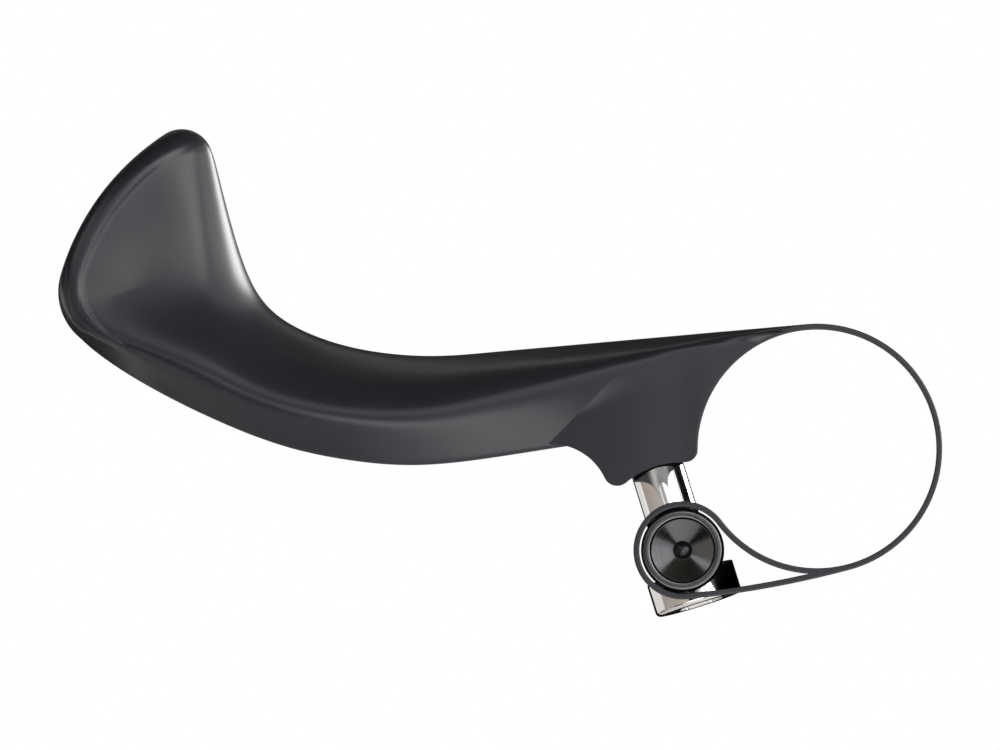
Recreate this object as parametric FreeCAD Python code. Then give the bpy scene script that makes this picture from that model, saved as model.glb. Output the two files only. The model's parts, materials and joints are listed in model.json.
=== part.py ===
import FreeCAD, Part
import math
import os
from collections import namedtuple
from FreeCAD import Placement, Rotation, Vector

# Inner bar end: a twisted thumb horn moulded in one piece with a thin strap round the handlebar.
# A screw goes up through a turned barrel in the strap's loop and pulls the strap tight.
# Frame: origin on the handlebar's axis at the middle of the clamp, +Y along the bar, +Z up,
# and the horn points towards -X. Millimetres and degrees.

# Strap round the bar
bar_diameter = 22.2
clamp_width = 18.0
strap_thickness = 0.56
loop_bearing = 217.0
loop_clearance = 0.14
belt_bow_radius = 93.0
shank_slot_clearance = 0.5
head_window_clearance = 0.45

# Barrel in the strap's loop
barrel_diameter = 7.76
barrel_overhang = 0.25
barrel_chamfer = 0.18
dish_rim = 0.6
dish_step = 0.3
dish_step_angle = 65.0
dish_cone_angle = 30.0
dish_hole_diameter = 1.7
dish_hole_depth = 2.0

# Clamp screw, placed along its axis from the barrel's middle
thread_diameter = 5.0
screw_length = 20.0
screw_tilt = 17.3
screw_lean = 3.3
head_diameter = 8.3
head_height = 3.1
head_seat = 2.2
head_chamfer = 0.2
tip_chamfer = 0.5
socket_width = 4.0
socket_depth = 1.9
shank_clearance = 0.25
head_clearance = 0.3

# Threaded insert in the boss
insert_diameter = 6.4
insert_length = 8.0
insert_recess = 1.4
insert_chamfer = 0.3
insert_clearance = 0.02
thread_clearance = 0.05
tip_room = 0.6

# Boss under the saddle
boss_radius = 8.2
boss_height = 5.5
boss_start_reach = 13.9
boss_top_reach = 8.9
lobe_radius = 1.3
saddle_corner_radius = 1.2
hollow_radius = 5.5
hollow_reach = 13.66
hollow_top = 0.45

# Horn. Reach is measured back from the bar's rear, height from the bar's axis. Each station spans
# the horn from its outer edge to its inner edge, seen along the bar. Its section is a rounded blade,
# narrower than the clamp by twice the inset and turned about the horn's length by the twist.
# A higher power makes the blade's outer or inner edge squarer, and under the outer edge the blade
# comes to a crisp corner.
Station = namedtuple("Station", "outer inner inset half_thickness twist outer_power inner_power")
horn_stations = [
    Station((18.7, -0.76), (19.1, 9.02), 0.1, 4.7, 12.5, 2.7, 2.7),
    Station((25.8, -1.50), (25.4, 8.66), 0.0, 4.4, 18.0, 2.5, 2.4),
    Station((32.4, -1.06), (31.6, 9.33), 0.2, 4.2, 23.0, 2.4, 2.3),
    Station((38.1, 0.13), (36.0, 10.68), 0.5, 4.1, 30.0, 2.4, 2.3),
    Station((44.0, 2.30), (39.7, 12.93), 0.8, 4.0, 40.0, 2.5, 2.3),
    Station((50.0, 5.20), (42.3, 17.30), 0.6, 4.0, 56.0, 2.7, 2.4),
    Station((54.2, 7.70), (44.1, 23.40), 0.0, 4.0, 72.0, 3.0, 2.5),
    Station((60.1, 12.35), (46.2, 31.15), -0.6, 4.0, 84.0, 3.0, 2.6),
]
corner_power = 24.0
section_points = 20

# Tip. An arc bulges past the last station, whose outer and inner edges would meet it in corners.
# Both corners and both broad faces are rounded into the arc, in steps given as shares of the turn.
# The last step stands proud of the arc by the overshoot, and the arc cuts it off.
tip_bulge = 3.13
tip_outer_round = 5.6
tip_inner_round = 2.9
tip_face_round = 1.6
tip_round_steps = (0.0, 0.33, 0.6, 0.8, 1.0)
tip_round_power = 4
tip_overshoot = 0.1

# Between the horn and the strap the section widens past the clamp's sides, which then cut it flat
saddle_steps = 5
saddle_start = 0.07
saddle_power = 6.0
saddle_flare = 7.0
saddle_flare_power = 2.5
saddle_twist_power = 1.5
saddle_floor = 3.7

# Sizes that follow from the ones above
bar_radius = bar_diameter / 2
ring_radius = bar_radius + strap_thickness
barrel_radius = barrel_diameter / 2
loop_radius = barrel_radius + loop_clearance
loop_outer_radius = loop_radius + strap_thickness
half_width = clamp_width / 2
shank_radius = thread_diameter / 2
head_radius = head_diameter / 2
insert_radius = insert_diameter / 2
far = 4 * bar_diameter

bar_axis = Vector(0, 0, 0)
along_bar = Vector(0, 1, 0)


def polar(center, radius, degrees):
    angle = math.radians(degrees)
    return center + Vector(radius * math.cos(angle), 0, radius * math.sin(angle))


def bearing(start, end):
    return math.degrees(math.atan2(end.z - start.z, end.x - start.x)) % 360


def circle_meet(center_a, radius_a, center_b, radius_b, side):
    """Where two circles cross; side +1 is to the left on the way from the first to the second."""
    between = center_b - center_a
    distance = between.Length
    along = (radius_a ** 2 - radius_b ** 2 + distance ** 2) / (2 * distance)
    across = math.sqrt(radius_a ** 2 - along ** 2)
    forward = between.multiply(1 / distance)
    left = Vector(-forward.z, 0, forward.x)
    return center_a + forward * along + left * (side * across)


def arc(center, radius, start, end):
    middle = (start + end) / 2
    corners = [polar(center, radius, angle) for angle in (start, middle, end)]
    return Part.Arc(*corners).toShape()


def line(start, end):
    return Part.LineSegment(start, end).toShape()


def at_reach(reach, height):
    return Vector(-bar_radius - reach, 0, height)


def across_clamp(face):
    shifted = face.translated(along_bar * -half_width)
    return shifted.extrude(along_bar * clamp_width)


def turned(profile, base, direction):
    """A solid of revolution from (radius, distance along the axis) corners."""
    corners = [Vector(radius, 0, distance) for radius, distance in profile]
    face = Part.Face(Part.makePolygon(corners + corners[:1]))
    solid = face.revolve(Vector(0, 0, 0), Vector(0, 0, 1), 360)
    solid.Placement = Placement(base, Rotation(Vector(0, 0, 1), direction))
    return solid


# The loop's middle lies where the strap passes snugly between the bar and the barrel
loop_center = polar(bar_axis, ring_radius + loop_radius, loop_bearing)

# The screw runs through the barrel's middle, tilted back at the top and leaning along the bar
tilt = math.radians(screw_tilt)
lean = math.radians(screw_lean)
screw_axis = Vector(-math.sin(tilt) * math.cos(lean), math.sin(lean), math.cos(tilt) * math.cos(lean))
insert_start = boss_radius + insert_recess
insert_end = insert_start + insert_length
screw_tip = screw_length - head_seat


# The tip's arc goes through the corners of the last station
tip_outer = at_reach(*horn_stations[-1].outer)
tip_inner = at_reach(*horn_stations[-1].inner)
tip_chord = tip_inner - tip_outer
tip_outward = Vector(-tip_chord.z, 0, tip_chord.x).normalize()
tip_radius = (tip_chord.Length ** 2 / 4 + tip_bulge ** 2) / (2 * tip_bulge)
tip_center = (tip_outer + tip_inner) / 2 + tip_outward * (tip_bulge - tip_radius)


def on_screw(distance):
    return loop_center + screw_axis * distance


def screw_hole(radius, start, end):
    return Part.makeCylinder(radius, end - start, on_screw(start), screw_axis)


def strap_and_boss():
    """The clamp's side view, all arcs, carried across its width."""
    bow_center = circle_meet(bar_axis, belt_bow_radius - ring_radius,
                             loop_center, belt_bow_radius - loop_outer_radius, -1)
    ring_end = bearing(bow_center, bar_axis)
    loop_end = bearing(bow_center, loop_center)
    belt_inner_radius = belt_bow_radius - strap_thickness
    notch = circle_meet(bar_axis, ring_radius, bow_center, belt_inner_radius, 1)

    hollow = at_reach(hollow_reach, hollow_top - hollow_radius)
    lobe = circle_meet(hollow, hollow_radius + lobe_radius, loop_center, boss_radius + lobe_radius, 1)
    corner = circle_meet(bar_axis, bar_radius + saddle_corner_radius,
                         loop_center, boss_radius + saddle_corner_radius, -1)
    boss_start_angle = math.degrees(math.acos((hollow_reach - boss_start_reach) / hollow_radius))
    boss_start = polar(hollow, hollow_radius, boss_start_angle)
    boss_top = at_reach(boss_top_reach, boss_height)
    saddle_inside_angle = 180 - math.degrees(math.asin(boss_height / ring_radius))

    outside = [
        arc(bar_axis, ring_radius, ring_end, 360 + saddle_inside_angle),
        line(polar(bar_axis, ring_radius, saddle_inside_angle), boss_top),
        line(boss_top, boss_start),
        arc(hollow, hollow_radius, boss_start_angle, bearing(hollow, lobe)),
        arc(lobe, lobe_radius, bearing(lobe, hollow), bearing(lobe, loop_center)),
        arc(loop_center, boss_radius, bearing(loop_center, lobe), bearing(loop_center, corner)),
        arc(corner, saddle_corner_radius, bearing(corner, loop_center), 180 + bearing(bar_axis, corner)),
        arc(bar_axis, bar_radius, bearing(bar_axis, corner), loop_bearing - 360),
        arc(loop_center, loop_outer_radius, loop_bearing - 180, loop_end),
        arc(bow_center, belt_bow_radius, loop_end, ring_end),
    ]
    opening = [
        arc(bar_axis, ring_radius, bearing(bar_axis, notch), loop_bearing),
        arc(loop_center, loop_radius, loop_bearing - 180, loop_end),
        arc(bow_center, belt_inner_radius, loop_end, bearing(bow_center, notch)),
    ]
    face = Part.makeFace([Part.Wire(outside), Part.Wire(opening)], "Part::FaceMakerBullseye")
    return across_clamp(face)


def blade_section(station, place):
    """A closed curve: a superellipse turned by the twist and stretched to touch both edges.

    place gives the point on the middle of the blade for a share of the way to the inner edge.
    """
    turn = math.radians(station.twist)
    corner_angle = 3 * math.pi / 4
    blade = []
    for index in range(section_points + 1):
        angle = 2 * math.pi * index / section_points - corner_angle
        cosine = math.cos(angle)
        sine = math.sin(angle)
        power = station.inner_power if cosine > 0 else station.outer_power if sine > 0 else corner_power
        size = (abs(cosine) ** power + abs(sine) ** power) ** (-1 / power)
        across = (half_width - station.inset) * size * cosine
        through = station.half_thickness * size * sine
        depth = across * math.cos(turn) - through * math.sin(turn)
        height = across * math.sin(turn) + through * math.cos(turn)
        blade.append((depth, height))
    lowest = min(height for depth, height in blade)
    highest = max(height for depth, height in blade)
    corners = [place((height - lowest) / (highest - lowest)) + along_bar * depth for depth, height in blade]
    steps = [index / section_points for index in range(section_points + 1)]
    curve = Part.BSplineCurve()
    curve.interpolate(Points=corners, Parameters=steps)
    return curve


def straight_section(station):
    outer = at_reach(*station.outer)
    inner = at_reach(*station.inner)
    return blade_section(station, lambda share: outer + (inner - outer) * share)


def saddle_stations():
    """The horn widens and squares off from its first station up to the strap's tangent point."""
    root = horn_stations[0]
    root_top = at_reach(*root.inner)
    slope = bearing(root_top, bar_axis) + math.degrees(math.asin(ring_radius / root_top.Length))
    ring_top = polar(bar_axis, ring_radius, slope + 90)
    stations = []
    for index in range(saddle_steps):
        share = (index + saddle_start) / (saddle_steps + saddle_start)
        top = ring_top + (root_top - ring_top) * share
        inner_reach = -bar_radius - top.x
        outer_reach = inner_reach + (root.outer[0] - root.inner[0]) * share
        outer_height = saddle_floor + (root.outer[1] - saddle_floor) * share
        inset = root.inset - saddle_flare * (1 - share) ** saddle_flare_power
        power = saddle_power + (root.outer_power - saddle_power) * share
        twist = root.twist * share ** saddle_twist_power
        stations.append(Station((outer_reach, outer_height), (inner_reach, top.z), inset,
                                root.half_thickness, twist, power, power))
    return stations


def tip_corner(edge_start, edge_end, radius, side, step):
    """A point on the circle that rounds an edge into the tip's arc; side +1 is to the edge's left."""
    forward = (edge_end - edge_start).normalize()
    inward = Vector(-forward.z, 0, forward.x) * side
    start = edge_end + inward * radius - tip_center
    along = start.dot(forward)
    ahead = math.sqrt((tip_radius - radius) ** 2 - start.dot(start) + along ** 2) - along
    center = tip_center + start + forward * ahead
    end_angle = bearing(tip_center, center)
    turn = (end_angle - bearing(inward, bar_axis) + 180) % 360 - 180
    return polar(center, radius, end_angle - turn * (1 - step))


def tip_section(step):
    """A section bent along the tip's arc, which draws in as it goes round the tip's edge."""
    before = horn_stations[-2]
    outer = tip_corner(at_reach(*before.outer), tip_outer, tip_outer_round, -1, step)
    inner = tip_corner(at_reach(*before.inner), tip_inner, tip_inner_round, 1, step)
    start = bearing(tip_center, outer)
    end = bearing(tip_center, inner)
    rest = math.radians(90 * (1 - step))
    face_depth = tip_face_round * (1 - math.cos(rest))
    outer_more = tip_radius - (outer - tip_center).Length - face_depth
    inner_more = tip_radius - (inner - tip_center).Length - face_depth
    proud = tip_overshoot if step == 1 else 0

    def place(share):
        more = outer_more * (1 - share) ** tip_round_power + inner_more * share ** tip_round_power
        return polar(tip_center, tip_radius + proud - face_depth - more, start + (end - start) * share)

    last = horn_stations[-1]
    thinner = tip_face_round * (1 - math.sin(rest))
    return blade_section(last._replace(half_thickness=last.half_thickness - thinner), place)


def skin(curves):
    """A smooth surface through closed section curves that share their knots."""
    steps = [0.0]
    for before, after in zip(curves, curves[1:]):
        moved = after.toShape().CenterOfGravity - before.toShape().CenterOfGravity
        steps.append(steps[-1] + moved.Length)
    degree = min(3, len(curves) - 1)
    tracks = []
    for poles in zip(*[curve.getPoles() for curve in curves]):
        track = Part.BSplineCurve()
        if degree == 1:
            track.buildFromPoles(list(poles), False, degree)
        else:
            track.interpolate(Points=list(poles), Parameters=steps)
        tracks.append(track)
    surface = Part.BSplineSurface()
    surface.buildFromPolesMultsKnots([track.getPoles() for track in tracks],
                                     curves[0].getMultiplicities(), tracks[0].getMultiplicities(),
                                     curves[0].getKnots(), tracks[0].getKnots(), False, False, 3, degree)
    return surface.toShape()


def horn():
    along = [straight_section(station) for station in saddle_stations() + horn_stations[:-1]]
    round_tip = [tip_section(step) for step in tip_round_steps]
    faces = [skin(along + round_tip[:1])]
    faces += [skin(pair) for pair in zip(round_tip, round_tip[1:])]
    faces += [Part.makeFilledFace([curve.toShape()]) for curve in (along[0], round_tip[-1])]
    shell = Part.makeShell(faces)
    shell.sewShape()
    blank = Part.makeSolid(Part.Shell(shell.Faces))
    slab = Part.makeBox(2 * far, clamp_width, 2 * far, Vector(-1.5 * far, -half_width, -far))
    blank = blank.common(slab)
    past_tip = Part.makeBox(far, 2 * far, 2 * far, Vector(tip_center.x - far, -far, tip_center.z - far))
    round_end = Part.makeCylinder(tip_radius, 2 * far, tip_center - along_bar * far, along_bar)
    blank = blank.cut(past_tip.cut(round_end))

    # The strap lines the saddle, so the horn stops half way into it
    half_way = bar_radius + strap_thickness / 2
    return blank.cut(Part.makeCylinder(half_way, 2 * far, along_bar * -far, along_bar))


def horn_body():
    body = horn().fuse(strap_and_boss()).removeSplitter()
    below_boss = (loop_outer_radius + boss_radius) / 2
    body = body.cut(screw_hole(insert_radius + insert_clearance, below_boss, insert_end))
    body = body.cut(screw_hole(shank_radius + shank_clearance, below_boss, screw_tip + tip_room))
    body = body.cut(screw_hole(shank_radius + shank_slot_clearance, 0, below_boss))
    return body.cut(screw_hole(head_radius + head_window_clearance, -far, head_window_clearance - head_seat))


def barrel_pin():
    half = half_width + barrel_overhang
    rim = barrel_radius - barrel_chamfer - dish_rim
    step_end = rim - dish_step / math.tan(math.radians(dish_step_angle))
    hole = dish_hole_diameter / 2
    cone_depth = dish_step + (step_end - hole) * math.tan(math.radians(dish_cone_angle))
    bottom = cone_depth + dish_hole_depth
    end = [(0, bottom), (hole, bottom), (hole, cone_depth), (step_end, dish_step), (rim, 0),
           (barrel_radius - barrel_chamfer, 0), (barrel_radius, barrel_chamfer)]
    profile = [(radius, depth - half) for radius, depth in end]
    profile += [(radius, half - depth) for radius, depth in reversed(end)]
    barrel = turned(profile, loop_center, along_bar)
    shank_hole = screw_hole(shank_radius + shank_clearance, -barrel_diameter, barrel_diameter)
    spot_face = screw_hole(head_radius + head_clearance, -barrel_diameter, -head_seat)
    return barrel.cut(shank_hole).cut(spot_face)


def clamp_screw():
    head_end = -head_seat - head_height
    profile = [(0, head_end), (head_radius - head_chamfer, head_end), (head_radius, head_end + head_chamfer),
               (head_radius, -head_seat - head_chamfer), (head_radius - head_chamfer, -head_seat),
               (shank_radius, -head_seat), (shank_radius, screw_tip - tip_chamfer),
               (shank_radius - tip_chamfer, screw_tip), (0, screw_tip)]
    screw = turned(profile, loop_center, screw_axis)
    corner = Vector(socket_width / math.sqrt(3), 0, 0)
    corners = [Rotation(Vector(0, 0, 1), 60 * index).multVec(corner) for index in range(7)]
    socket = Part.Face(Part.makePolygon(corners)).extrude(Vector(0, 0, socket_depth))
    socket.Placement = Placement(on_screw(head_end), Rotation(Vector(0, 0, 1), screw_axis))
    return screw.cut(socket)


def threaded_insert():
    bore = shank_radius + thread_clearance
    profile = [(bore, insert_start), (insert_radius, insert_start), (insert_radius, insert_end - insert_chamfer),
               (insert_radius - insert_chamfer, insert_end), (bore, insert_end)]
    return turned(profile, loop_center, screw_axis)


def main():
    os.makedirs("parts", exist_ok=True)
    for part in (horn_body, barrel_pin, clamp_screw, threaded_insert):
        shape = part()
        shape.exportStep("parts/" + part.__name__ + ".step")
        print(part.__name__, len(shape.Solids), "solid,", round(shape.Volume), "cubic mm")


main()
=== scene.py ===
import json
import math
import bpy
import bmesh
import numpy as np
from mathutils import Matrix, Vector
from mathutils.geometry import tessellate_polygon


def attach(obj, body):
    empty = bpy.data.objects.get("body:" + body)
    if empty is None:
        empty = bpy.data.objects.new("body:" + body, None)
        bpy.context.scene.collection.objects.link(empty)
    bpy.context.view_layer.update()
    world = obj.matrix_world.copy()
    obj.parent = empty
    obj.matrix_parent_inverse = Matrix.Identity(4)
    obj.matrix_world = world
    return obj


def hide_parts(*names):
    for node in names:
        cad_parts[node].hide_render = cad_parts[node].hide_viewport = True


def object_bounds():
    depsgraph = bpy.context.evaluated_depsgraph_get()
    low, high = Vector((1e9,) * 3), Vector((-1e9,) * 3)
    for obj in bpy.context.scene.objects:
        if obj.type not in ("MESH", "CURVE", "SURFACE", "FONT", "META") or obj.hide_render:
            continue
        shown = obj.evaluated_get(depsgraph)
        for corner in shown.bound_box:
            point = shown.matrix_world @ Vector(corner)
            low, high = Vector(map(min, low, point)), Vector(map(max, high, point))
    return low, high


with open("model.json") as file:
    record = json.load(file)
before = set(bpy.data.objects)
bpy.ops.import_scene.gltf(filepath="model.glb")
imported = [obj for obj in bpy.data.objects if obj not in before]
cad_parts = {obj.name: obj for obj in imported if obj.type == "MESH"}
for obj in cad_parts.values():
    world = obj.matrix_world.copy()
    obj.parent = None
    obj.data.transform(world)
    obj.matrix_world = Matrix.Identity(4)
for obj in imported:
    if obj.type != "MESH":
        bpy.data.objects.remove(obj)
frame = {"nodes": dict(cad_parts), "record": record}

# Inner bar end, dressed for its photo. Shapes are worked out in millimetres in the CAD frame:
# origin on the handlebar's axis, +Y along the bar, +Z up, the horn towards -X.
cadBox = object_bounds()
mm = 0.001
barMount = frame["record"]["mounts"][0]["dims"]
barRadius = barMount["r_mm"]
halfWidth = barMount["length_mm"] / 2
barAxis = np.zeros(2)
tiny = 1e-9             # keeps a division by a length away from zero
poleRadius = 0.01       # a turned profile ends on this small ring, which a fan of faces closes


def polar(center, radius, degrees):
    # points on a circle in the XZ plane, for one angle or an array of them
    angle = np.radians(degrees)
    return np.asarray(center) + np.stack([radius * np.cos(angle), radius * np.sin(angle)], -1)


def bearing(start, end):
    return math.degrees(math.atan2(end[1] - start[1], end[0] - start[0])) % 360


def circleMeet(centerA, radiusA, centerB, radiusB, side):
    # where two circles cross; side +1 is to the left on the way from A to B
    between = centerB - centerA
    distance = np.linalg.norm(between)
    along = (radiusA ** 2 - radiusB ** 2 + distance ** 2) / (2 * distance)
    forward = between / distance
    left = np.array([-forward[1], forward[0]])
    return centerA + forward * along + left * side * math.sqrt(radiusA ** 2 - along ** 2)


def atReach(reach, height):
    return np.array([-barRadius - reach, height])


def smoothStep(low, high, x):
    t = np.clip((x - low) / (high - low), 0, 1)
    return t * t * (3 - 2 * t)


def newPiece(name, points, faces):
    mesh = bpy.data.meshes.new(name)
    mesh.from_pydata(points.tolist(), [], faces)
    work = bmesh.new()
    work.from_mesh(mesh)
    bmesh.ops.recalc_face_normals(work, faces=work.faces)
    work.to_mesh(mesh)
    work.free()
    piece = bpy.data.objects.new(name, mesh)
    bpy.context.scene.collection.objects.link(piece)
    return piece


def ringFaces(rows, columns):
    # quads of a grid whose columns join up into a ring
    r = np.arange(rows - 1)[:, None] * columns
    c = np.arange(columns)[None, :]
    n = (c + 1) % columns
    return np.stack([r + c, r + n, r + columns + n, r + columns + c], -1).reshape(-1, 4)


def closedPiece(name, grid):
    # a ring grid with both ends closed by a fan to the middle of the end ring
    rows, columns = grid.shape[:2]
    points = np.concatenate([grid.reshape(-1, 3), grid[[0, -1]].mean(1)])
    c = np.arange(columns)
    n = (c + 1) % columns
    last = (rows - 1) * columns
    pole = np.full(columns, rows * columns)
    fans = np.concatenate([np.stack([n, c, pole], -1), np.stack([last + c, last + n, pole + 1], -1)])
    return newPiece(name, points, ringFaces(rows, columns).tolist() + fans.tolist())


def carve(piece, tool, operation):
    # one exact Boolean, settled into the mesh
    boolean = piece.modifiers.new("carve", "BOOLEAN")
    boolean.operation = operation
    boolean.solver = "EXACT"
    boolean.object = tool
    graph = bpy.context.evaluated_depsgraph_get()
    carved = bpy.data.meshes.new_from_object(piece.evaluated_get(graph))
    piece.modifiers.clear()
    piece.data = carved
    bpy.data.objects.remove(tool)


def settle(piece, node, material, sharpAngle):
    # from millimetres to the frame's metres, shaded smooth up to the given angle
    piece.data.transform(Matrix.Scale(mm, 4))
    piece.data.shade_smooth()
    piece.data.set_sharp_from_angle(angle=math.radians(sharpAngle))
    piece.data.materials.clear()
    piece.data.materials.append(material)
    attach(piece, "root")
    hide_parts(node)
    print("piece", piece.name, len(piece.data.polygons), "faces")


def linear(hexColour):
    # sRGB hex to the linear colour that shaders take
    raw = np.array([int(hexColour[i:i + 2], 16) for i in (1, 3, 5)]) / 255
    return (*np.where(raw <= 0.04045, raw / 12.92, ((raw + 0.055) / 1.055) ** 2.4), 1.0)


def addNode(tree, kind, inputs=None, **settings):
    # a node with its settings; an input is a plain value or another node's output
    node = tree.nodes.new(kind)
    for name, value in settings.items():
        setattr(node, name, value)
    for name, value in (inputs or {}).items():
        if isinstance(value, bpy.types.NodeSocket):
            tree.links.new(value, node.inputs[name])
        else:
            node.inputs[name].default_value = value
    return node


def newMaterial(name):
    material = bpy.data.materials.new(name)
    material.use_nodes = True
    material.node_tree.nodes.clear()
    return material, material.node_tree


# Fibre-filled nylon, injection moulded in a fine spark-eroded tool: a soft satin sheen over dark
# grey, a little uneven where the melt flowed, with a grain that only breaks up the highlights.
nylon = {
    "dark": "#23232a", "light": "#292930",
    "roughness": (0.27, 0.34), "ior": 1.5,
    "flowMm": 14.0,
    "grainMm": 0.25,        # really about 0.05 mm, drawn coarser so that it shows
    "grainHeightMm": 0.004,
}


def mouldedNylon():
    material, tree = newMaterial("moulded fibre-filled nylon")
    place = addNode(tree, "ShaderNodeTexCoord").outputs["Object"]
    flow = addNode(tree, "ShaderNodeTexNoise", {"Vector": place, "Scale": 1 / (nylon["flowMm"] * mm)})
    grain = addNode(tree, "ShaderNodeTexNoise", {"Vector": place, "Scale": 1 / (nylon["grainMm"] * mm)})
    ramp = addNode(tree, "ShaderNodeValToRGB", {"Fac": flow.outputs["Fac"]})
    ramp.color_ramp.elements[0].color = linear(nylon["dark"])
    ramp.color_ramp.elements[1].color = linear(nylon["light"])
    rough = addNode(tree, "ShaderNodeMapRange",
                    {"Value": flow.outputs["Fac"], "To Min": nylon["roughness"][0],
                     "To Max": nylon["roughness"][1]})
    bump = addNode(tree, "ShaderNodeBump", {"Height": grain.outputs["Fac"], "Strength": 1.0,
                                            "Distance": nylon["grainHeightMm"] * mm})
    shader = addNode(tree, "ShaderNodeBsdfPrincipled",
                     {"Base Color": ramp.outputs["Color"], "Roughness": rough.outputs["Result"],
                      "Normal": bump.outputs["Normal"], "IOR": nylon["ior"]})
    addNode(tree, "ShaderNodeOutputMaterial", {"Surface": shader.outputs["BSDF"]})
    return material


# Aluminium turned on a lathe and black anodised: dark metal whose fine tool marks run round the
# axis, so that its reflections fan out into light and dark sectors.
anodised = {
    "dark": "#707173", "light": "#7c7d7f",
    "roughness": (0.13, 0.22), "anisotropy": 0.5,
    "feedMm": 0.14,         # really about 0.05 mm a turn, drawn coarser so that it shows
    "markHeightMm": 0.0006,
}


def anodisedAluminium():
    material, tree = newMaterial("turned and black anodised aluminium")
    around = addNode(tree, "ShaderNodeTangent", direction_type="UV_MAP", uv_map="turning")
    place = addNode(tree, "ShaderNodeTexCoord").outputs["Object"]
    flat = addNode(tree, "ShaderNodeMapping",
                   {"Vector": place, "Scale": (1, 0, 1), "Location": -loopPoint * mm})
    radius = addNode(tree, "ShaderNodeVectorMath", {0: flat.outputs["Vector"]}, operation="LENGTH")
    along = addNode(tree, "ShaderNodeSeparateXYZ", {"Vector": place})
    travel = addNode(tree, "ShaderNodeMath", {0: radius.outputs["Value"], 1: along.outputs["Y"]})
    marks = addNode(tree, "ShaderNodeTexNoise",
                    {"W": travel.outputs["Value"], "Scale": 1 / (anodised["feedMm"] * mm)},
                    noise_dimensions="1D")
    ramp = addNode(tree, "ShaderNodeValToRGB", {"Fac": marks.outputs["Fac"]})
    ramp.color_ramp.elements[0].color = linear(anodised["dark"])
    ramp.color_ramp.elements[1].color = linear(anodised["light"])
    rough = addNode(tree, "ShaderNodeMapRange",
                    {"Value": marks.outputs["Fac"], "To Min": anodised["roughness"][0],
                     "To Max": anodised["roughness"][1]})
    bump = addNode(tree, "ShaderNodeBump", {"Height": marks.outputs["Fac"], "Strength": 1.0,
                                            "Distance": anodised["markHeightMm"] * mm})
    shader = addNode(tree, "ShaderNodeBsdfPrincipled",
                     {"Base Color": ramp.outputs["Color"], "Metallic": 1.0, "Normal": bump.outputs["Normal"],
                      "Roughness": rough.outputs["Result"], "Anisotropic": anodised["anisotropy"],
                      "Tangent": around.outputs["Tangent"]})
    addNode(tree, "ShaderNodeOutputMaterial", {"Surface": shader.outputs["BSDF"]})
    return material


# Steel polished and plated with bright nickel and chrome: a nearly clean mirror, very slightly warm,
# a touch duller in soft patches where the polishing wheel left it.
chrome = {"dull": "#e8e5e1", "bright": "#f2f0ed", "roughness": (0.03, 0.08), "patchMm": 1.6}


def brightPlatedSteel():
    material, tree = newMaterial("bright plated steel")
    place = addNode(tree, "ShaderNodeTexCoord").outputs["Object"]
    patches = addNode(tree, "ShaderNodeTexNoise", {"Vector": place, "Scale": 1 / (chrome["patchMm"] * mm)})
    ramp = addNode(tree, "ShaderNodeValToRGB", {"Fac": patches.outputs["Fac"]})
    ramp.color_ramp.elements[0].color = linear(chrome["dull"])
    ramp.color_ramp.elements[1].color = linear(chrome["bright"])
    rough = addNode(tree, "ShaderNodeMapRange",
                    {"Value": patches.outputs["Fac"], "To Min": chrome["roughness"][1],
                     "To Max": chrome["roughness"][0]})
    shader = addNode(tree, "ShaderNodeBsdfPrincipled",
                     {"Base Color": ramp.outputs["Color"], "Metallic": 1.0,
                      "Roughness": rough.outputs["Result"]})
    addNode(tree, "ShaderNodeOutputMaterial", {"Surface": shader.outputs["BSDF"]})
    return material


# Brass turned from bar: warm yellow metal, browner where it has started to tarnish.
brass = {"tarnished": "#b8924f", "bright": "#d9bb74", "roughness": (0.22, 0.4), "tarnishMm": 2.5}


def turnedBrass():
    material, tree = newMaterial("turned brass")
    place = addNode(tree, "ShaderNodeTexCoord").outputs["Object"]
    tarnish = addNode(tree, "ShaderNodeTexNoise", {"Vector": place, "Scale": 1 / (brass["tarnishMm"] * mm)})
    ramp = addNode(tree, "ShaderNodeValToRGB", {"Fac": tarnish.outputs["Fac"]})
    ramp.color_ramp.elements[0].color = linear(brass["tarnished"])
    ramp.color_ramp.elements[1].color = linear(brass["bright"])
    rough = addNode(tree, "ShaderNodeMapRange",
                    {"Value": tarnish.outputs["Fac"], "To Min": brass["roughness"][1],
                     "To Max": brass["roughness"][0]})
    shader = addNode(tree, "ShaderNodeBsdfPrincipled",
                     {"Base Color": ramp.outputs["Color"], "Metallic": 1.0,
                      "Roughness": rough.outputs["Result"]})
    addNode(tree, "ShaderNodeOutputMaterial", {"Surface": shader.outputs["BSDF"]})
    return material


# Clamp: the strap round the bar, its loop round the barrel and the boss, one flat outline of arcs
clamp = {
    "strap": 0.56, "loopBearing": 217.0, "loopClearance": 0.14, "bowRadius": 93.0, "barrelRadius": 3.88,
    "bossRadius": 8.2, "bossHeight": 5.5, "bossStartReach": 13.9, "bossTopReach": 8.9,
    "lobeRadius": 1.3, "saddleCorner": 1.2, "hollowRadius": 5.5, "hollowReach": 13.66, "hollowTop": 0.45,
    "edgeRound": 0.13, "edgeRows": 5, "flatRim": 0.05, "sideInset": 0.02, "stepMm": 0.16,
    "runOutReach": (4.0, 13.9), "runOutDrop": 0.74, "bandReach": (9.8, 6.6), "bandRise": 20.0,
    "bandWidth": 3.0, "bandDrop": 0.07, "runOutFade": (-1.0, 2.0), "runOutHeights": (-5.0, 9.5),
    "runOutGrid": (100, 90), "boreSegments": 360,
}
strapThickness = clamp["strap"]
ringRadius = barRadius + strapThickness
loopRadius = clamp["barrelRadius"] + clamp["loopClearance"]
loopOuter = loopRadius + strapThickness
loopCenter = polar(barAxis, ringRadius + loopRadius, clamp["loopBearing"])


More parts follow.
